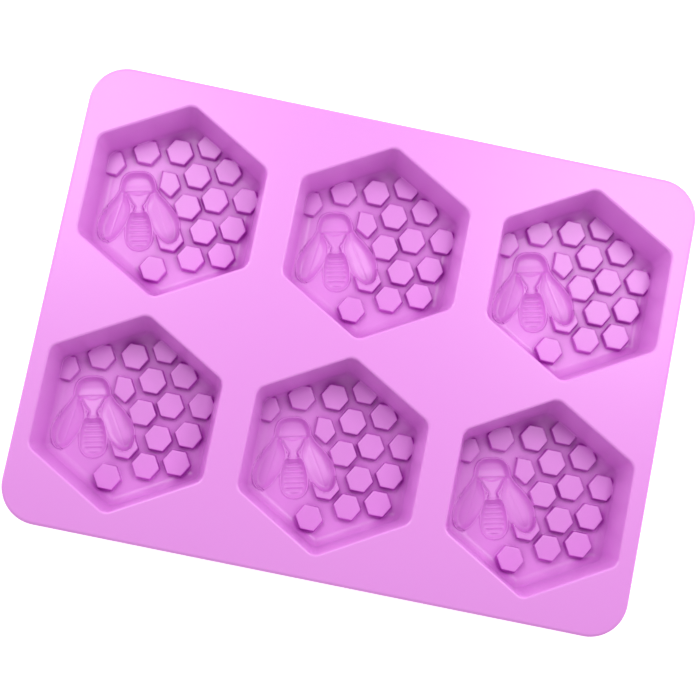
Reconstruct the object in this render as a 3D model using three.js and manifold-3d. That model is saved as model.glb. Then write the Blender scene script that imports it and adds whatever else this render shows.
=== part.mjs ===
// Silicone soap mould: one flexible moulding with six hexagonal cups under a flat deck.
// Millimetres, +Z up. The origin is the middle of the tray's footprint, on the surface it stands on.
import * as THREE from 'three';
import { mergeVertices } from 'three/addons/utils/BufferGeometryUtils.js';
import Module from 'manifold-3d';

const wasm = await Module();
wasm.setup();

// ---- Driving dimensions ----
const TRAY = { length: 260, width: 194, height: 30, cornerRadius: 16 };
const DECK = { thickness: 3, edgeRadius: 1.2 };
const PITCH = { x: 86.6, y: 90.6 };
const GRID = { columns: 3, rows: 2 };

// The cavity is a hexagon with two flats facing +X and -X. A "half" is its centre-to-flat distance.
const CAVITY = { topHalf: 36.1, floorHalf: 32.7, cornerRadius: 4.5, lipRadius: 1.1, filletRadius: 2 };
const CUP = { floorThickness: 4.4, wallThickness: 2.2, footRadius: 2 };
const GAP = 0.3;

// Honeycomb studs stand on each cup's floor. They are placed by hand, so their rows aren't quite regular.
const STUD = { topHalf: 5.15, baseHalf: 5.35, height: 3.2 };
const STUD_CENTRES = [
  [-31.4, 15.6], [-17.8, 23.2], [-3.9, 26], [8.6, 31.2],
  [18.2, 22], [5.6, 17.3], [-6.5, 11.2], [15.2, 8.5],
  [28.4, 10.9], [4.3, 3.2], [25.3, -2.2], [13.1, -6],
  [22.8, -14.7], [10.3, -18.6], [-0.2, -11.9], [-4.5, -26.2],
];
// The stud beside the bee's head has two extra sides. Each is given by the direction it faces, in degrees
// anticlockwise from +X, and by how far it is from the stud's centre.
const HEAD_STUD = { index: 6, cuts: [{ facing: 180, distance: 2.7 }, { facing: 240, distance: 3.3 }] };

// The bee is symmetrical about its own axis. Each part is a rounded hollow in the floor. Its level bottom has
// the outline's shape at "bottomScale" of its size.
const BEE = { centre: [-16.2, -1.8], tilt: 13, lipWidth: 1, lipHeight: 0.25 };
const BEE_PARTS = {
  head: {
    depth: 2.2,
    bottomScale: 0.55,
    half: [[0, 16.2], [3.8, 15.7], [6.1, 13.8], [7.2, 10.6], [7.3, 7.2], [5.4, 6.9], [0, 7.6]],
  },
  thorax: {
    depth: 0.8,
    bottomScale: 0.8,
    half: [[0, 9], [5.4, 8.4], [3.9, 5], [2.2, 1.9], [2.8, -0.6], [0, -1.6]],
  },
  abdomen: {
    depth: 2.4,
    bottomScale: 0.6,
    half: [[0, -0.9], [3.2, -1.4], [4.9, -5], [5.6, -10], [5.3, -14.6], [3.2, -17.6], [0, -18.5]],
  },
};
const WING = {
  depth: 1.9,
  bottomScale: 0.4,
  outline: [
    [7.4, 8.6], [9.4, 5.6], [12.4, 2.2], [15.5, -2], [17.1, -6], [17.2, -11], [15.9, -14.4],
    [13, -15.6], [9.8, -13.9], [7, -10.2], [5.2, -5], [3.6, 0], [4.4, 4.4], [5.4, 8],
  ],
};
const STRIPE = { count: 6, first: -3.2, pitch: 2.17, width: 0.9, height: 0.5, length: 14 };

const CORNER_STEPS = 2;
const ROUNDING_STEPS = 2;
const BEE_OUTLINE_POINTS = 16;

const DECK_TOP = TRAY.height;
const DECK_UNDERSIDE = TRAY.height - DECK.thickness;
const FLOOR_TOP = CUP.floorThickness;

// ---- Outlines: lists of Vector2, anticlockwise ----

function roundedPolygon(corners, radius, steps = CORNER_STEPS) {
  const points = [];
  corners.forEach((corner, i) => {
    const before = corners[(i + corners.length - 1) % corners.length].clone().sub(corner).normalize();
    const after = corners[(i + 1) % corners.length].clone().sub(corner).normalize();
    const halfAngle = Math.acos(before.dot(after)) / 2;
    const centre = before.clone().add(after).normalize()
      .multiplyScalar(radius / Math.sin(halfAngle)).add(corner);
    const start = before.multiplyScalar(radius / Math.tan(halfAngle)).add(corner).sub(centre);
    const turn = Math.PI - 2 * halfAngle;
    for (let step = 0; step <= steps; step += 1) {
      points.push(start.clone().rotateAround(new THREE.Vector2(), (turn * step) / steps).add(centre));
    }
  });
  return points;
}

function hexagonCorners(half, firstAngle) {
  const radius = half / Math.cos(Math.PI / 6);
  return Array.from({ length: 6 }, (_, i) => {
    const angle = firstAngle + (i * Math.PI) / 3;
    return new THREE.Vector2(radius * Math.cos(angle), radius * Math.sin(angle));
  });
}

function cavityOutline(half) {
  const radius = Math.max(0.6, CAVITY.cornerRadius + half - CAVITY.topHalf);
  return roundedPolygon(hexagonCorners(half, Math.PI / 6), radius);
}

function trayOutline(inset) {
  const x = TRAY.length / 2 - inset;
  const y = TRAY.width / 2 - inset;
  const corners = [[x, y], [-x, y], [-x, -y], [x, -y]].map(([cx, cy]) => new THREE.Vector2(cx, cy));
  return roundedPolygon(corners, TRAY.cornerRadius - inset, 8);
}

function smoothOutline(points, count) {
  const curve = new THREE.CatmullRomCurve3(points.map(([x, y]) => new THREE.Vector3(x, y, 0)), true);
  const outline = curve.getSpacedPoints(count).slice(0, count).map((p) => new THREE.Vector2(p.x, p.y));
  return THREE.ShapeUtils.area(outline) > 0 ? outline : outline.reverse();
}

function mirrored(points) {
  return points.map(([x, y]) => [-x, y]);
}

function bothSides(halfPoints) {
  const otherSide = mirrored(halfPoints.slice(1, -1)).reverse();
  return [...halfPoints, ...otherSide];
}

// Moves each point of a smooth outline outwards along its normal, or inwards if the distance is negative.
function offsetOutline(outline, distance) {
  return outline.map((point, i) => {
    const before = outline[(i + outline.length - 1) % outline.length];
    const after = outline[(i + 1) % outline.length];
    const along = after.clone().sub(before).normalize();
    return new THREE.Vector2(along.y, -along.x).multiplyScalar(distance).add(point);
  });
}

// ---- Solids ----

// A closed body through a stack of outlines that all have the same number of points.
function loft(rings) {
  const count = rings[0].outline.length;
  const positions = rings.flatMap(({ outline, z }) => outline.flatMap((p) => [p.x, p.y, z]));
  const indices = [];
  for (let ring = 0; ring + 1 < rings.length; ring += 1) {
    for (let i = 0; i < count; i += 1) {
      const a = ring * count + i;
      const b = ring * count + ((i + 1) % count);
      indices.push(a, b, b + count, a, b + count, a + count);
    }
  }
  const last = (rings.length - 1) * count;
  const base = THREE.ShapeUtils.triangulateShape(rings[0].outline, []);
  const top = THREE.ShapeUtils.triangulateShape(rings[rings.length - 1].outline, []);
  base.forEach(([a, b, c]) => indices.push(a, c, b));
  top.forEach(([a, b, c]) => indices.push(last + a, last + b, last + c));
  const geometry = new THREE.BufferGeometry();
  geometry.setAttribute('position', new THREE.Float32BufferAttribute(positions, 3));
  geometry.setIndex(indices);
  return solidOf(geometry);
}

function prism(outline, bottom, top) {
  return loft([{ outline, z: bottom }, { outline, z: top }]);
}

function solidOf(geometry) {
  const bare = geometry.clone();
  bare.deleteAttribute('normal');
  bare.deleteAttribute('uv');
  const merged = mergeVertices(bare, 1e-4);
  return new wasm.Manifold(new wasm.Mesh({
    numProp: 3,
    vertProperties: new Float32Array(merged.attributes.position.array),
    triVerts: new Uint32Array(merged.index.array),
  }));
}

function geometryOf(solid) {
  const mesh = solid.getMesh();
  const geometry = new THREE.BufferGeometry();
  geometry.setAttribute('position', new THREE.BufferAttribute(mesh.vertProperties, mesh.numProp));
  geometry.setIndex(new THREE.BufferAttribute(mesh.triVerts, 1));
  const flat = geometry.toNonIndexed();
  flat.computeVertexNormals();
  return flat;
}

// Points of a quarter round, each as how far it is across from the flat and down from the face.
function quarterRound(radius) {
  return Array.from({ length: ROUNDING_STEPS + 1 }, (_, i) => {
    const angle = (i * Math.PI) / 2 / ROUNDING_STEPS;
    return { across: radius * (1 - Math.sin(angle)), down: radius * (1 - Math.cos(angle)) };
  });
}

// ---- The cavity, as the space that the soap fills ----

function cavityHalf(z) {
  const rise = (z - FLOOR_TOP) / (DECK_TOP - FLOOR_TOP);
  return THREE.MathUtils.lerp(CAVITY.floorHalf, CAVITY.topHalf, rise);
}

function cavitySpace(clearance) {
  const rings = [];
  quarterRound(CAVITY.filletRadius).forEach(({ across, down }) => {
    const z = FLOOR_TOP + down;
    rings.push({ outline: cavityOutline(cavityHalf(z) - across - clearance), z });
  });
  quarterRound(CAVITY.lipRadius).reverse().forEach(({ across, down }) => {
    const z = DECK_TOP - down;
    rings.push({ outline: cavityOutline(cavityHalf(z) + across - clearance), z });
  });
  const mouth = rings[rings.length - 1].outline;
  rings.push({ outline: mouth, z: DECK_TOP + 1 });
  const toe = rings[0].outline;
  return loft([{ outline: toe, z: -1 }, ...rings]);
}

// ---- Sub-parts ----

function deck(cupPlaces) {
  const edge = quarterRound(DECK.edgeRadius);
  const lower = edge.map(({ across, down }) => ({ outline: trayOutline(across), z: DECK_UNDERSIDE + down }));
  const upper = edge.map(({ across, down }) => ({ outline: trayOutline(across), z: DECK_TOP - down }));
  let sheet = loft([...lower, ...upper.reverse()]);
  const cavity = cavitySpace(0);
  cupPlaces.forEach(({ x, y }) => {
    sheet = sheet.subtract(cavity.translate([x, y, 0]));
  });
  return sheet;
}

function cupWall() {
  const top = DECK_UNDERSIDE - GAP;
  const foot = quarterRound(CUP.footRadius).map(({ across, down }) => ({
    outline: cavityOutline(cavityHalf(down) + CUP.wallThickness - across),
    z: down,
  }));
  const outside = loft([...foot, { outline: cavityOutline(cavityHalf(top) + CUP.wallThickness), z: top }]);
  return outside.subtract(cavitySpace(0));
}

function stud([x, y], index) {
  let body = loft([
    { outline: hexagonCorners(STUD.baseHalf, 0), z: FLOOR_TOP - 1 },
    { outline: hexagonCorners(STUD.topHalf, 0), z: FLOOR_TOP + STUD.height },
  ]);
  if (index === HEAD_STUD.index) {
    HEAD_STUD.cuts.forEach(({ facing, distance }) => {
      const angle = THREE.MathUtils.degToRad(facing);
      body = body.trimByPlane([-Math.cos(angle), -Math.sin(angle), 0], -distance);
    });
  }
  return body.translate([x, y, 0]);
}

function cupFloor(beeFootprint) {
  const toeHalf = cavityHalf(FLOOR_TOP) - CAVITY.filletRadius - GAP;
  const plate = prism(cavityOutline(toeHalf), 0, FLOOR_TOP);
  const studs = STUD_CENTRES.map(stud).reduce((all, next) => all.add(next));
  return plate.add(studs.intersect(cavitySpace(GAP))).subtract(beeFootprint);
}

function beeHollows() {
  const bodyParts = Object.values(BEE_PARTS).map(({ half, ...shape }) => (
    { ...shape, outline: smoothOutline(bothSides(half), BEE_OUTLINE_POINTS) }
  ));
  const wings = [WING.outline, mirrored(WING.outline)].map((points) => (
    { ...WING, outline: smoothOutline(points, BEE_OUTLINE_POINTS) }
  ));
  return [...bodyParts, ...wings];
}

function beeFootprint(hollows, margin, bottom, top) {
  return hollows
    .map(({ outline }) => prism(offsetOutline(outline, margin), bottom, top))
    .reduce((all, next) => all.add(next));
}

function scaledOutline(outline, scale) {
  const centre = outline.reduce((sum, p) => sum.add(p), new THREE.Vector2()).divideScalar(outline.length);
  return outline.map((p) => p.clone().sub(centre).multiplyScalar(scale).add(centre));
}

function hollow({ outline, depth, bottomScale }) {
  const shoulderScale = THREE.MathUtils.lerp(1, bottomScale, 0.35);
  const brim = FLOOR_TOP + BEE.lipHeight + 0.1;
  return loft([
    { outline: scaledOutline(outline, bottomScale), z: FLOOR_TOP - depth },
    { outline: scaledOutline(outline, shoulderScale), z: FLOOR_TOP - depth * 0.6 },
    { outline, z: FLOOR_TOP },
    { outline, z: brim },
  ]);
}

function abdomenStripes({ outline, depth }) {
  const floor = FLOOR_TOP - depth;
  const inside = prism(scaledOutline(outline, 0.8), floor - 0.5, FLOOR_TOP);
  const bars = Array.from({ length: STRIPE.count }, (_, i) => {
    const bar = new THREE.BoxGeometry(STRIPE.length, STRIPE.width, STRIPE.height + 0.5);
    bar.translate(0, STRIPE.first - i * STRIPE.pitch, floor + (STRIPE.height - 0.5) / 2);
    return solidOf(bar);
  });
  return bars.reduce((all, next) => all.add(next)).intersect(inside);
}

function placedBee(solid) {
  return solid.rotate([0, 0, BEE.tilt]).translate([...BEE.centre, 0]);
}

function beeRelief(hollows) {
  const block = beeFootprint(hollows, BEE.lipWidth - GAP, 0, FLOOR_TOP + BEE.lipHeight);
  const cuts = hollows.map(hollow).reduce((all, next) => all.add(next));
  const abdomen = hollows[Object.keys(BEE_PARTS).indexOf('abdomen')];
  const relief = block.subtract(cuts).add(abdomenStripes(abdomen));
  return placedBee(relief).intersect(cavitySpace(GAP));
}

// ---- Assembly ----

const silicone = new THREE.MeshStandardMaterial({ color: 0xe493e3, roughness: 0.55, metalness: 0 });

function namedMesh(name, solid) {
  const mesh = new THREE.Mesh(geometryOf(solid), silicone);
  mesh.name = name;
  return mesh;
}

const cupPlaces = [];
for (let row = 0; row < GRID.rows; row += 1) {
  for (let column = 0; column < GRID.columns; column += 1) {
    cupPlaces.push({
      x: (column - (GRID.columns - 1) / 2) * PITCH.x,
      y: ((GRID.rows - 1) / 2 - row) * PITCH.y,
    });
  }
}

const hollows = beeHollows();
const beeOpening = placedBee(beeFootprint(hollows, BEE.lipWidth, -1, TRAY.height));
const wall = cupWall();
const floor = cupFloor(beeOpening);
const bee = beeRelief(hollows);

const mould = new THREE.Group();
mould.add(namedMesh('top_deck', deck(cupPlaces)));
cupPlaces.forEach(({ x, y }, i) => {
  const cup = new THREE.Group();
  cup.position.set(x, y, 0);
  cup.add(namedMesh(`cup_${i + 1}_wall`, wall));
  cup.add(namedMesh(`cup_${i + 1}_honeycomb_floor`, floor));
  cup.add(namedMesh(`cup_${i + 1}_bee_relief`, bee));
  mould.add(cup);
});

export default mould;
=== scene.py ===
import math

import bmesh
import bpy
import numpy as np
from mathutils import Matrix, Vector
from mathutils.geometry import delaunay_2d_cdt


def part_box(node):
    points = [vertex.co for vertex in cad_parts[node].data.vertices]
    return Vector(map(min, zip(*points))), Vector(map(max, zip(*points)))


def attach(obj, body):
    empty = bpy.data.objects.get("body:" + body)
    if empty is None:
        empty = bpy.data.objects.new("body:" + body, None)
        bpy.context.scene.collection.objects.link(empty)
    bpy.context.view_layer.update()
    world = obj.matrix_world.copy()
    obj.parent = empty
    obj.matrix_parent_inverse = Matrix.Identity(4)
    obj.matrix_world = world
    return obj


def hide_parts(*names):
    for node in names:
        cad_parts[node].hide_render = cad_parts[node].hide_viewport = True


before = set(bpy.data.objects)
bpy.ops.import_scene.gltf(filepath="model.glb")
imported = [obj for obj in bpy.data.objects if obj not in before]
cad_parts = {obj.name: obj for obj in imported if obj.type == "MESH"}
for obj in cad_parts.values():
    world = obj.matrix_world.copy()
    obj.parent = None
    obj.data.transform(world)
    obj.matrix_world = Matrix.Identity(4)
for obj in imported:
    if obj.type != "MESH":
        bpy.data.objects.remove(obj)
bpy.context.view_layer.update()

# Lengths in this script are millimetres until a mesh, light or camera is made.
MM = 0.001

# ---- The mould's sizes: the CAD solids' own, except for some of the rounds ----

TOP_HALF, FLOOR_HALF = 36.1, 32.7       # centre to flat of the cavity's hexagon, at deck and at floor level
TOP_CORNER, FLOOR_CORNER = 5.0, 3.5     # radius of its upright corners
LIP_RADIUS, FILLET_RADIUS = 1.1, 4.5    # rounds inside the cavity, at deck and at floor level
WALL, FOOT_RADIUS, ROOT_RADIUS = 2.2, 2.0, 1.5  # the outer rounds are at the cup's foot and under the deck
DECK_THICKNESS, DECK_CORNER, DECK_EDGE = 3.0, 16.0, 1.35
STUD_HEIGHT = 3.2
STUD_HALF = 5.13                        # centre to flat, just below the stud's rounded top edge

STUD_CENTRES = [
    (-31.4, 15.6), (-17.8, 23.2), (-3.9, 26.0), (8.6, 31.2), (18.2, 22.0), (5.6, 17.3),
    (-6.5, 11.2), (15.2, 8.5), (28.4, 10.9), (4.3, 3.2), (25.3, -2.2), (13.1, -6.0),
    (22.8, -14.7), (10.3, -18.6), (-0.2, -11.9), (-4.5, -26.2),
]
BESIDE_THE_HEAD, UNDER_THE_WING = 6, 14  # the two studs that give way to the bee
HEAD_STUD_CUTS = [(180, 2.7), (240, 3.3)]  # each extra side: the way it faces, in degrees, and its distance
# How far the side of a stud stays from the bee's outline.
USUAL_MARGIN, WING_MARGIN = 0.5, 0.1

deck_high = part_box("top_deck")[1] / MM
DECK_TOP = deck_high.z
DECK_UNDERSIDE = DECK_TOP - DECK_THICKNESS
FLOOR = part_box("cup_1_honeycomb_floor")[1].z / MM - STUD_HEIGHT
DEPTH = DECK_TOP - FLOOR
DRAFT = (TOP_HALF - FLOOR_HALF) / DEPTH
LEAN = math.degrees(math.atan(DRAFT))   # of the walls, from upright
CUPS = []
for number in range(1, 7):
    low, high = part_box(f"cup_{number}_wall")
    CUPS.append(((low.x + high.x) / 2 / MM, (low.y + high.y) / 2 / MM))


# ---- Outlines ----

SHARPEST = 0.05                         # smallest corner radius


def rounded_outline(corners, radius, per_corner, spacing=None):
    """Anticlockwise outline with round corners. Its straight sides are cut into steps of about spacing."""
    corners = [np.array(c, float) for c in corners]
    points = []
    for i, corner in enumerate(corners):
        to_last = corners[i - 1] - corner
        to_next = corners[(i + 1) % len(corners)] - corner
        to_last, to_next = to_last / np.linalg.norm(to_last), to_next / np.linalg.norm(to_next)
        half = math.acos(np.dot(to_last, to_next)) / 2
        middle = (to_last + to_next) / np.linalg.norm(to_last + to_next)
        centre = corner + middle * radius / math.sin(half)
        arm = corner + to_last * radius / math.tan(half) - centre
        for step in range(per_corner + 1):
            turn = (math.pi - 2 * half) * step / per_corner
            c, s = math.cos(turn), math.sin(turn)
            points.append(centre + (c * arm[0] - s * arm[1], s * arm[0] + c * arm[1]))
    if spacing is None:
        return np.array(points)
    return subdivided(points, spacing)


def subdivided(points, spacing):
    out = []
    for a, b in zip(points, points[1:] + points[:1]):
        steps = max(1, round(float(np.linalg.norm(b - a)) / spacing))
        out += [a + (b - a) * k / steps for k in range(steps)]
    return np.array(out)


def hexagon_corners(half, first_angle):
    reach = half / math.cos(math.pi / 6)
    angles = [first_angle + k * math.pi / 3 for k in range(6)]
    return [(reach * math.cos(a), reach * math.sin(a)) for a in angles]


def stud_corners(index, half):
    """The stud's corners round its own centre. half is its centre-to-flat distance at this height."""
    corners = hexagon_corners(half, 0)
    for facing, distance in stud_cuts(index):
        limit = distance + half - STUD_HALF
        corners = cut_polygon(corners, facing, limit)
    return corners


def stud_cuts(index):
    """A stud's extra sides, each as (direction it faces, distance from the stud's centre)."""
    if index != BESIDE_THE_HEAD:
        return []
    cuts = []
    for facing, distance in HEAD_STUD_CUTS:
        angle = math.radians(facing)
        cuts.append((np.array([math.cos(angle), math.sin(angle)]), distance))
    return cuts


def bee_margin(index):
    return WING_MARGIN if index == UNDER_THE_WING else USUAL_MARGIN


def cut_polygon(corners, facing, limit):
    """The part of a convex polygon that doesn't reach further than limit towards facing."""
    corners = [np.array(c, float) for c in corners]
    kept = []
    for a, b in zip(corners, corners[1:] + corners[:1]):
        reach_a, reach_b = a @ facing - limit, b @ facing - limit
        if reach_a <= 0:
            kept.append(a)
        if reach_a * reach_b < 0:
            kept.append(a + (b - a) * reach_a / (reach_a - reach_b))
    return kept


def cavity_outline(half, corner, per_side=10, per_corner=10):
    """The cavity's hexagon, points towards +Y and -Y, always with the same number of points."""
    points = rounded_outline(hexagon_corners(half, math.pi / 6), corner, per_corner)
    out = []
    for i, a in enumerate(points):
        b = points[(i + 1) % len(points)]
        steps = per_side if i % (per_corner + 1) == per_corner else 1
        out += [a + (b - a) * k / steps for k in range(steps)]
    return np.array(out)


def deck_outline(inset):
    x, y = deck_high.x - inset, deck_high.y - inset
    return rounded_outline([(x, y), (-x, y), (-x, -y), (x, -y)], DECK_CORNER - inset, 24)


def smooth_loop(points, count):
    """Closed Catmull-Rom curve through the points."""
    points = np.array(points, float)
    n = len(points)
    out = []
    for i in range(n):
        p0, p1, p2, p3 = points[i - 1], points[i], points[(i + 1) % n], points[(i + 2) % n]
        for k in range(count):
            t = k / count
            out.append(0.5 * (2 * p1 + (p2 - p0) * t + (2 * p0 - 5 * p1 + 4 * p2 - p3) * t ** 2
                              + (3 * p1 - p0 - 3 * p2 + p3) * t ** 3))
    return np.array(out)


# ---- Distances ----

def hexagon_distance(x, y, half):
    """Signed distance to a hexagon whose points face +X and -X. Negative is inside."""
    x, y = np.abs(x), np.abs(y)
    kx, ky, kz = -math.sqrt(3) / 2, 0.5, 1 / math.sqrt(3)
    fold = 2 * np.minimum(kx * x + ky * y, 0)
    x, y = x - fold * kx, y - fold * ky
    x, y = x - np.clip(x, -kz * half, kz * half), y - half
    return np.hypot(x, y) * np.sign(y)


def loop_distance(points, loop):
    """Signed distance from each point to a closed loop. Negative is inside."""
    a, b = loop, np.roll(loop, -1, axis=0)
    along = b - a
    rel = points[:, None, :] - a[None]
    t = np.clip((rel * along).sum(2) / (along ** 2).sum(1), 0, 1)
    gap = np.hypot(*np.moveaxis(rel - t[..., None] * along, 2, 0)).min(1)
    px, py = points[:, 0, None], points[:, 1, None]
    spans = (a[:, 1] > py) != (b[:, 1] > py)
    with np.errstate(divide="ignore", invalid="ignore"):
        crossing = a[:, 0] + (py - a[:, 1]) * along[:, 0] / along[:, 1]
    inside = (spans & (px < crossing)).sum(1) % 2 == 1
    return np.where(inside, -gap, gap)


def ramp(value, start, end):
    """Rises smoothly from 0 at start to 1 at end."""
    t = np.clip((value - start) / (end - start), 0, 1)
    return t * t * (3 - 2 * t)


def bump(value, centre, half_width):
    """A smooth ridge, 1 at its centre."""
    t = np.clip(np.abs(value - centre) / half_width, 0, 1)
    return (1 - t * t) ** 2


# ---- Cross-sections: how high the surface is at each distance, above the cup's floor ----

STRAIGHT_START = 0.8                    # how much of the straight wall belongs to the floor's sheet


def arc(radius, start, end, steps):
    angles = np.radians(np.linspace(start, end, steps + 1))
    return [(radius * math.cos(a), radius * math.sin(a)) for a in angles]


def tangent_length(radius):
    """From the corner between a leaning wall and a level surface to where a round starts."""
    return radius * math.tan(math.radians((90 - LEAN) / 2))


def wall_section():
    """(half, height) from the flat floor, round the fillet and a little way up the wall."""
    centre = FLOOR_HALF - tangent_length(FILLET_RADIUS)
    section = [(centre + x, FILLET_RADIUS + z) for x, z in arc(FILLET_RADIUS, -90, -LEAN, steps=9)]
    section += [(FLOOR_HALF + DRAFT * z, z) for z in (FILLET_RADIUS, FILLET_RADIUS + STRAIGHT_START)]
    return np.array(section)


WALL_SECTION = wall_section()
STUD_SECTION = np.array([
    (4.55, STUD_HEIGHT), (4.8, STUD_HEIGHT - 0.05), (5.0, STUD_HEIGHT - 0.19),
    (STUD_HALF, STUD_HEIGHT - 0.45), (5.3, 0.5), (5.42, 0.2), (5.62, 0.05), (5.9, 0.0),
])
# A wall's or a stud's upright corners are round outside these sharp hexagons.
FLOOR_CORE = FLOOR_HALF - FLOOR_CORNER
STUD_CORE = 4.45


def wall_level(x, y):
    """The half of the cavity's outline that runs through a point."""
    return FLOOR_CORE + hexagon_distance(y, x, FLOOR_CORE)


# ---- The bee, in its own frame: v runs up its axis from the waist, u to its right ----

BEE_CENTRE, BEE_TILT = (-16.2, -1.8), math.radians(13)
HEAD = [(0, 16.2), (3.8, 15.7), (6.1, 13.8), (7.2, 10.6), (7.3, 7.2), (5.0, 6.4), (0, 5.2)]
THORAX = [(0, 10.6), (5.0, 10.3), (5.3, 8.4), (4.9, 6.2), (3.3, 3.2), (2.0, 1.4), (2.6, -0.6), (0, -1.6)]
ABDOMEN = [(0, -0.9), (3.2, -1.4), (4.9, -5.0), (5.5, -9.8), (5.2, -14.0), (3.2, -16.8), (0, -17.7)]
WING = [
    (7.4, 8.6), (9.4, 5.6), (12.4, 2.2), (15.5, -2.0), (17.1, -6.0), (17.2, -11.0), (15.9, -14.4),
    (13.0, -15.6), (9.8, -13.9), (7.0, -10.2), (5.2, -5.0), (3.6, 0.0), (4.4, 4.4), (5.4, 8.0),
]
# The left wing is the right one's mirror image, with a shorter tip beside the cup's wall.
SHORT_TIP = [(17.0, -10.2), (15.6, -12.8), (13.2, -13.4), (10.4, -12.0), (7.6, -8.8)]
SHORT_WING = WING[:5] + SHORT_TIP + WING[10:]
HEAD_DEPTH, ABDOMEN_DEPTH, WING_DEPTH = 2.5, 2.2, 1.75
HEAD_END, WAIST = 8.2, -1.5             # where along v the head meets the thorax, and the thorax the abdomen
THORAX_DEPTH, WAIST_DEPTH = 1.8, 0.5
LIP_HEIGHT, LIP_HALF_WIDTH = 0.5, 0.6
STRIPE_PITCH, STRIPE_HEIGHT, FIRST_STRIPE = 2.17, 0.25, -4.3
BEE_REACH = 24                          # nothing of the bee lies further out, along u or v
FAR = 50.0                              # stands for any distance to the bee from further out than that


def mirrored(points):
    return [(-u, v) for u, v in points]


def both_sides(half):
    return half + mirrored(half[1:-1])[::-1]


HEAD_LOOP = smooth_loop(both_sides(HEAD), 6)
THORAX_LOOP = smooth_loop(both_sides(THORAX), 6)
ABDOMEN_LOOP = smooth_loop(both_sides(ABDOMEN), 6)
RIGHT_WING_LOOP = smooth_loop(WING, 6)
LEFT_WING_LOOP = smooth_loop(mirrored(SHORT_WING), 6)


def to_bee(x, y):
    """From the cup's frame to the bee's: (u, v)."""
    c, s = math.cos(BEE_TILT), math.sin(BEE_TILT)
    dx, dy = x - BEE_CENTRE[0], y - BEE_CENTRE[1]
    return c * dx + s * dy, c * dy - s * dx


def hollow(edge, reach):
    """A rounded hollow of depth 1: steep at its edge, and level from reach inwards."""
    return np.sin(np.clip(-edge / reach, 0, 1) * math.pi / 2)


def head_depth(edge, v):
    """Deep and level, rising a little towards the thorax, with a fine groove where the two meet."""
    bottom = HEAD_DEPTH - 0.4 * ramp(v, 12.0, HEAD_END)
    return hollow(edge, 2.2) * bottom + 0.3 * bump(v, HEAD_END, 0.5) * ramp(-edge, 0.8, 1.6)


def thorax_depth(edge, v):
    """A slope that rises from the head's depth to a shallow waist, between two fine edge grooves."""
    bottom = WAIST_DEPTH + (THORAX_DEPTH - WAIST_DEPTH) * np.clip((v - WAIST) / (HEAD_END - WAIST), 0, 1)
    return hollow(edge, 0.9) * bottom + 0.25 * bump(edge, -0.7, 0.5)


def abdomen_depth(edge, v):
    """Deepest at the waist, rising towards the tip, with soft cross stripes."""
    bottom = ABDOMEN_DEPTH - 1.0 * ramp(v, -4.0, -15.0)
    stripes = -STRIPE_HEIGHT * np.cos((v - FIRST_STRIPE) * 2 * math.pi / STRIPE_PITCH)
    return hollow(edge, 2.4) * bottom + stripes * ramp(-edge, 0.9, 1.9)


def wing_depth(edge, u, v):
    """Steep and deep along the outer edge, then rising gently towards the body, except near the tip."""
    across = np.abs(u) + 0.35 * v
    inner_depth = 0.15 + 0.8 * ramp(v, -5.0, -14.0)
    bottom = inner_depth + (WING_DEPTH - inner_depth) * np.clip((across - 3.0) / 9.0, 0, 1)
    vein = 0.1 * bump(across, 8.5, 0.6) * ramp(-edge, 1.5, 2.5)
    return hollow(edge, 2.4) * bottom + vein


def bee_height(x, y):
    """(height above the cup's floor, distance to the bee's outer edge)"""
    u, v = to_bee(x, y)
    points = np.column_stack([u, v])
    height, nearest = np.zeros(len(u)), np.full(len(u), FAR)
    near = (np.abs(u) < BEE_REACH) & (np.abs(v) < BEE_REACH)
    uv, u, v = points[near], u[near], v[near]
    head, thorax, abdomen, right, left = (
        loop_distance(uv, loop)
        for loop in (HEAD_LOOP, THORAX_LOOP, ABDOMEN_LOOP, RIGHT_WING_LOOP, LEFT_WING_LOOP)
    )
    edge = np.minimum.reduce([head, thorax, abdomen, right, left])
    depth = np.maximum.reduce([
        head_depth(head, v),
        thorax_depth(thorax, v),
        abdomen_depth(abdomen, v),
        wing_depth(right, u, v),
        wing_depth(left, u, v),
    ])
    height[near] = LIP_HEIGHT * bump(edge, 0.2, LIP_HALF_WIDTH) - depth
    nearest[near] = edge
    return height, nearest


def floor_height(x, y):
    """Height of the cup's inside above its flat floor, in the cup's own place."""
    base = np.interp(wall_level(x, y), WALL_SECTION[:, 0], WALL_SECTION[:, 1])
    bee, bee_edge = bee_height(x, y)
    studs = np.zeros(len(x))
    for i, (cx, cy) in enumerate(STUD_CENTRES):
        level = STUD_CORE + hexagon_distance(x - cx, y - cy, STUD_CORE)
        keep_out = STUD_HALF + bee_margin(i) - bee_edge
        level = np.maximum(level, keep_out)
        for facing, distance in stud_cuts(i):
            reach = (x - cx) * facing[0] + (y - cy) * facing[1]
            level = np.maximum(level, STUD_HALF + reach - distance)
        studs = np.maximum(studs, np.interp(level, STUD_SECTION[:, 0], STUD_SECTION[:, 1]))
    return np.maximum(base, studs) + bee


# ---- Meshing ----

RELIEF_STEP = 0.3
RELIEF_X, RELIEF_Y = (-33, 6), (-24, 18)
WHOLE_HULL, INSIDE_EDGES = 0, 1         # which triangles delaunay_2d_cdt gives back
WELD_DISTANCE = 2e-6                    # metres


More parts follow.
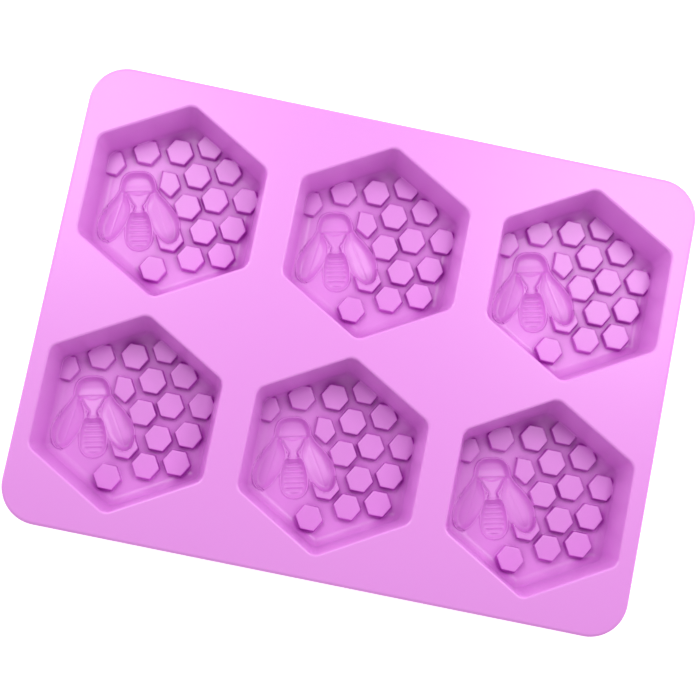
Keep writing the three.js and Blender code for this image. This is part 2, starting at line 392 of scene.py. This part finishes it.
class Shell:
    """Collects points in millimetres and faces, for one mesh."""

    def __init__(self):
        self.points, self.faces, self.count = [], [], 0

    def add(self, points, faces=()):
        start = self.count
        self.points.append(np.array(points, float))
        self.count += len(points)
        self.faces += [[start + i for i in face] for face in faces]
        return list(range(start, self.count))

    def ring(self, outline, z):
        return self.add(np.column_stack([outline, np.full(len(outline), z)]))

    def bridge(self, low, high):
        """Quads between two rings with the same number of points."""
        for i in range(len(low)):
            j = (i + 1) % len(low)
            self.faces.append([low[i], low[j], high[j], high[i]])

    def stack(self, rings):
        """Joins (outline, z) rings one to the next, and gives the first and last back."""
        made = [self.ring(outline, z) for outline, z in rings]
        for low, high in zip(made, made[1:]):
            self.bridge(low, high)
        return made[0], made[-1]

    def mesh(self, name):
        points = np.concatenate(self.points) * MM
        data = bpy.data.meshes.new(name)
        data.from_pydata(points.tolist(), [], self.faces)
        obj = bpy.data.objects.new(name, data)
        bpy.context.scene.collection.objects.link(obj)
        return obj


def flat_sheet(outer, holes, downwards=False):
    """Triangles between an outline and the holes in it: (points, faces)."""
    points, edges = [], []
    for loop in [outer, *holes]:
        start, n = len(points), len(loop)
        points += [Vector(p) for p in loop]
        edges += [(start + i, start + (i + 1) % n) for i in range(n)]
    found, _, faces, *_ = delaunay_2d_cdt(points, edges, [], WHOLE_HULL, 1e-6)
    found = np.array([tuple(p) for p in found])
    middles = np.array([found[list(face)].mean(0) for face in faces])
    keep = loop_distance(middles, outer) < 0
    for hole in holes:
        keep &= loop_distance(middles, hole) > 0
    faces = [list(face)[::-1] if downwards else list(face) for face, kept in zip(faces, keep) if kept]
    return found, faces


def floor_sheet(edge_outline):
    """The cup's whole relief as one sheet of triangles, in the cup's own place: (points, faces)."""
    points, edges = [], []

    def add_chain(chain, closed):
        start = len(points)
        points.extend(Vector(p) for p in chain)
        n = len(chain)
        edges.extend((start + i, start + (i + 1) % n) for i in range(n if closed else n - 1))

    add_chain(edge_outline, True)
    for half, _ in WALL_SECTION[:-1]:
        corner = max(half - FLOOR_CORE, SHARPEST)
        add_chain(cavity_outline(half, corner, per_side=16), True)
    limit = WALL_SECTION[-2, 0]
    for i, (cx, cy) in enumerate(STUD_CENTRES):
        for half, _ in STUD_SECTION:
            corner = max(half - STUD_CORE, SHARPEST)
            loop = rounded_outline(stud_corners(i, half), corner, per_corner=4, spacing=0.6) + (cx, cy)
            for chain, closed in clipped(loop, limit, bee_margin(i) - 0.2):
                add_chain(chain, closed)
    points.extend(Vector(p) for p in relief_points())
    found, _, faces, *_ = delaunay_2d_cdt(points, edges, [], INSIDE_EDGES, 1e-4)
    found = np.array([tuple(p) for p in found])
    heights = floor_height(found[:, 0], found[:, 1])
    on_edge = wall_level(found[:, 0], found[:, 1]) > WALL_SECTION[-1, 0] - 1e-3
    heights[on_edge] = WALL_SECTION[-1, 1]
    return np.column_stack([found, heights]), [list(face) for face in faces]


def clipped(loop, limit, margin):
    """The runs of a stud's loop that lie inside the wall and clear of the bee: (points, closed or not)."""
    wall = wall_level(loop[:, 0], loop[:, 1])
    bee = bee_height(loop[:, 0], loop[:, 1])[1]
    inside = (wall < limit) & (bee > margin)
    if inside.all():
        return [(loop, True)]
    first = int(np.argmin(inside))
    loop, inside = np.roll(loop, -first, axis=0), np.roll(inside, -first)
    runs, run = [], []
    for point, ok in zip(loop, inside):
        if ok:
            run.append(point)
        elif run:
            runs.append(run)
            run = []
    if run:
        runs.append(run)
    return [(np.array(r), False) for r in runs if len(r) > 1]


def relief_points():
    """A fine grid over the bee, and over the edge where its wing cuts off a stud."""
    xs, ys = np.meshgrid(np.arange(*RELIEF_X, RELIEF_STEP), np.arange(*RELIEF_Y, RELIEF_STEP))
    xs[1::2] += RELIEF_STEP / 2
    x, y = xs.ravel(), ys.ravel()
    edge = bee_height(x, y)[1]
    keep = (edge < 1.0) & (wall_level(x, y) < WALL_SECTION[-1, 0] - 0.1)
    cx, cy = STUD_CENTRES[UNDER_THE_WING]
    over = hexagon_distance(x - cx, y - cy, STUD_SECTION[-1, 0]) < 0
    keep |= over & (edge < WING_MARGIN + 1.2)
    return np.column_stack([x, y])[keep]


def lip_rings():
    """(half, z) from the top of the cup's wall, over the lip, to the deck."""
    centre = TOP_HALF + tangent_length(LIP_RADIUS)
    return [(centre + x, DECK_TOP - LIP_RADIUS + z) for x, z in arc(LIP_RADIUS, 180 - LEAN, 90, steps=6)]


def corner_at(half):
    """The radius of the cavity's upright corners, where it is this wide."""
    return FLOOR_CORNER + (half - FLOOR_HALF) * (TOP_CORNER - FLOOR_CORNER) / (TOP_HALF - FLOOR_HALF)


def cup_inside(shell, sheet, place):
    """Relief, wall and lip of one cup. Gives the lip's outline, where the deck meets it."""
    points, faces = sheet
    shell.add(points + (*place, FLOOR), faces)
    start_half, start_z = WALL_SECTION[-1]
    rings = [(cavity_outline(start_half, start_half - FLOOR_CORE) + place, FLOOR + start_z)]
    lips = lip_rings()
    for part in (0.25, 0.5, 0.75):
        z = FLOOR + start_z + (lips[0][1] - FLOOR - start_z) * part
        half = FLOOR_HALF + (z - FLOOR) * DRAFT
        rings.append((cavity_outline(half, corner_at(half)) + place, z))
    rings += [(cavity_outline(half, corner_at(half)) + place, z) for half, z in lips]
    shell.stack(rings)
    return rings[-1][0]


def cup_outside(shell, place):
    """Outer wall and flat foot of one cup. Gives the outline where the deck's underside meets it."""
    rings = []
    for x, z in arc(FOOT_RADIUS, -90, 0, steps=5):
        half = FLOOR_HALF + WALL - FOOT_RADIUS + x
        rings.append((half, FOOT_RADIUS + z))
    slope_top = DECK_UNDERSIDE - ROOT_RADIUS
    root_half = FLOOR_HALF + WALL + (slope_top - FLOOR) * DRAFT
    rings.append((root_half, slope_top))
    root = arc(ROOT_RADIUS, 180, 90, steps=4)
    rings += [(root_half + ROOT_RADIUS + x, slope_top + z) for x, z in root[1:]]
    outlines = [(cavity_outline(half, corner_at(half) + WALL) + place, z) for half, z in rings]
    outlines.reverse()
    _, foot = shell.stack(outlines)
    shell.faces.append(foot[::-1])
    return outlines[0][0]


def soap_mould():
    """The whole moulding as one closed mesh."""
    shell = Shell()
    edge_half = WALL_SECTION[-1, 0]
    sheet = floor_sheet(cavity_outline(edge_half, edge_half - FLOOR_CORE))
    lips = [cup_inside(shell, sheet, place) for place in CUPS]
    roots = [cup_outside(shell, place) for place in CUPS]

    rim = [(deck_outline(DECK_EDGE - x), z) for x, z in arc(DECK_EDGE, -90, 0, steps=5)]
    low = [(outline, DECK_UNDERSIDE + DECK_EDGE + z) for outline, z in rim]
    high = [(outline, DECK_TOP - DECK_EDGE - z) for outline, z in reversed(rim)]
    shell.stack(low + high)
    points, faces = flat_sheet(high[-1][0], lips)
    shell.add(np.column_stack([points, np.full(len(points), DECK_TOP)]), faces)
    points, faces = flat_sheet(low[0][0], roots, downwards=True)
    shell.add(np.column_stack([points, np.full(len(points), DECK_UNDERSIDE)]), faces)
    return finished(shell.mesh("soap_mould"))


def finished(obj):
    """Welds the seams and shades smoothly, with each corner's normal led by its largest faces."""
    bm = bmesh.new()
    bm.from_mesh(obj.data)
    bmesh.ops.remove_doubles(bm, verts=bm.verts, dist=WELD_DISTANCE)
    bmesh.ops.recalc_face_normals(bm, faces=bm.faces)
    bm.to_mesh(obj.data)
    bm.free()
    data = obj.data
    data.polygons.foreach_set("use_smooth", [True] * len(data.polygons))
    normals = np.zeros((len(data.vertices), 3))
    for polygon in data.polygons:
        weighted = np.array(polygon.normal) * polygon.area
        for v in polygon.vertices:
            normals[v] += weighted
    normals /= np.linalg.norm(normals, axis=1)[:, None]
    data.normals_split_custom_set_from_vertices(normals.tolist())
    return obj


# ---- Materials ----

# Painted shade: the deeper pink below is what the base colour turns to in creases and hollows, where shade
# falls, and the reach is how far the occlusion test looks.
PAINTED_CREASE_SHADE_PINK = (0.46, 0.035, 0.48, 1)
OPEN_PINK = (0.77, 0.28, 0.78, 1)
PAINTED_SHADE_REACH = 0.006                    # metres


def silicone_material():
    material = bpy.data.materials.new("pink_silicone")
    material.use_nodes = True
    nodes, links = material.node_tree.nodes, material.node_tree.links
    shader = nodes["Principled BSDF"]
    # Painted shade: an ambient occlusion node darkens the base colour to a deeper pink in creases and
    # hollows, on top of the shade that bounced light gives. It is fitted to the photo's look.
    openness = nodes.new("ShaderNodeAmbientOcclusion")
    openness.samples = 16
    openness.only_local = True
    openness.inputs["Distance"].default_value = PAINTED_SHADE_REACH
    painted_shade_ramp = nodes.new("ShaderNodeValToRGB")
    # The ramp's dark end is the painted crease shade, and its light end is the rubber's own pink.
    painted_crease_shade, open_surface = painted_shade_ramp.color_ramp.elements
    painted_crease_shade.position, painted_crease_shade.color = 0.3, PAINTED_CREASE_SHADE_PINK
    open_surface.position, open_surface.color = 0.88, OPEN_PINK
    links.new(openness.outputs["AO"], painted_shade_ramp.inputs["Fac"])
    links.new(painted_shade_ramp.outputs["Color"], shader.inputs["Base Color"])
    shader.inputs["Roughness"].default_value = 0.33
    shader.inputs["Subsurface Weight"].default_value = 0.1
    shader.inputs["Subsurface Radius"].default_value = (1, 0.45, 0.9)
    shader.inputs["Subsurface Scale"].default_value = 0.0015
    return material


def floor_material():
    """Nearly white and glowing a little, so that the floor round the mould stays plain white."""
    material = bpy.data.materials.new("pale_floor")
    material.use_nodes = True
    shader = material.node_tree.nodes["Principled BSDF"]
    shader.inputs["Base Color"].default_value = (0.9, 0.9, 0.9, 1)
    shader.inputs["Roughness"].default_value = 0.9
    shader.inputs["Emission Color"].default_value = (1, 1, 1, 1)
    shader.inputs["Emission Strength"].default_value = 0.7
    return material


# ---- Scene, in metres ----

STUDIO_FLOOR_Z = -0.0002                # just under the cups' flat feet


def studio():
    bpy.ops.mesh.primitive_plane_add(size=12, location=(0, 0, STUDIO_FLOOR_Z))
    floor = bpy.context.object
    floor.name = "floor"
    floor.data.materials.append(floor_material())
    world = bpy.data.worlds.new("studio")
    world.use_nodes = True
    world.node_tree.nodes["Background"].inputs["Color"].default_value = (1, 1, 1, 1)
    world.node_tree.nodes["Background"].inputs["Strength"].default_value = 0.56
    bpy.context.scene.world = world
    softbox("high_left_softbox", 140, 60, 0.78)
    softbox("high_right_softbox", 45, 60, 0.86)
    softbox("low_left_softbox", 150, 15, 0.85)
    softbox("low_right_softbox", 30, 15, 0.85)


def softbox(name, bearing, elevation, power, distance=0.55, size=0.2):
    """A square light aimed at the mould, its power in watts. Bearing 0 is towards +X and 90 towards +Y."""
    bearing, elevation = math.radians(bearing), math.radians(elevation)
    towards = Vector((
        math.cos(bearing) * math.cos(elevation),
        math.sin(bearing) * math.cos(elevation),
        math.sin(elevation),
    ))
    light = bpy.data.lights.new(name, "AREA")
    light.shape, light.size, light.energy = "SQUARE", size, power
    obj = bpy.data.objects.new(name, light)
    obj.location = towards * distance
    obj.rotation_euler = towards.to_track_quat("Z", "Y").to_euler()
    bpy.context.scene.collection.objects.link(obj)


def camera():
    """Almost overhead: 8 degrees to the front of straight down, and rolled 11 degrees."""
    data = bpy.data.cameras.new("camera")
    data.sensor_width = 36
    data.lens = 84.85714
    obj = bpy.data.objects.new("camera", data)
    right = Vector((0.97937, 0.19697, 0.04513))
    back = Vector((-0.01903, -0.13244, 0.99101))
    up = back.cross(right)
    place = Vector((-0.01503, -0.09141, 0.67491 + DECK_TOP * MM))
    turn = Matrix((right, up, back)).transposed().to_4x4()
    obj.matrix_world = Matrix.Translation(place) @ turn
    bpy.context.scene.collection.objects.link(obj)
    bpy.context.scene.camera = obj


mould = soap_mould()
mould.data.materials.append(silicone_material())
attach(mould, "root")
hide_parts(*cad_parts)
studio()
camera()
bpy.context.scene.view_settings.view_transform = "Standard"
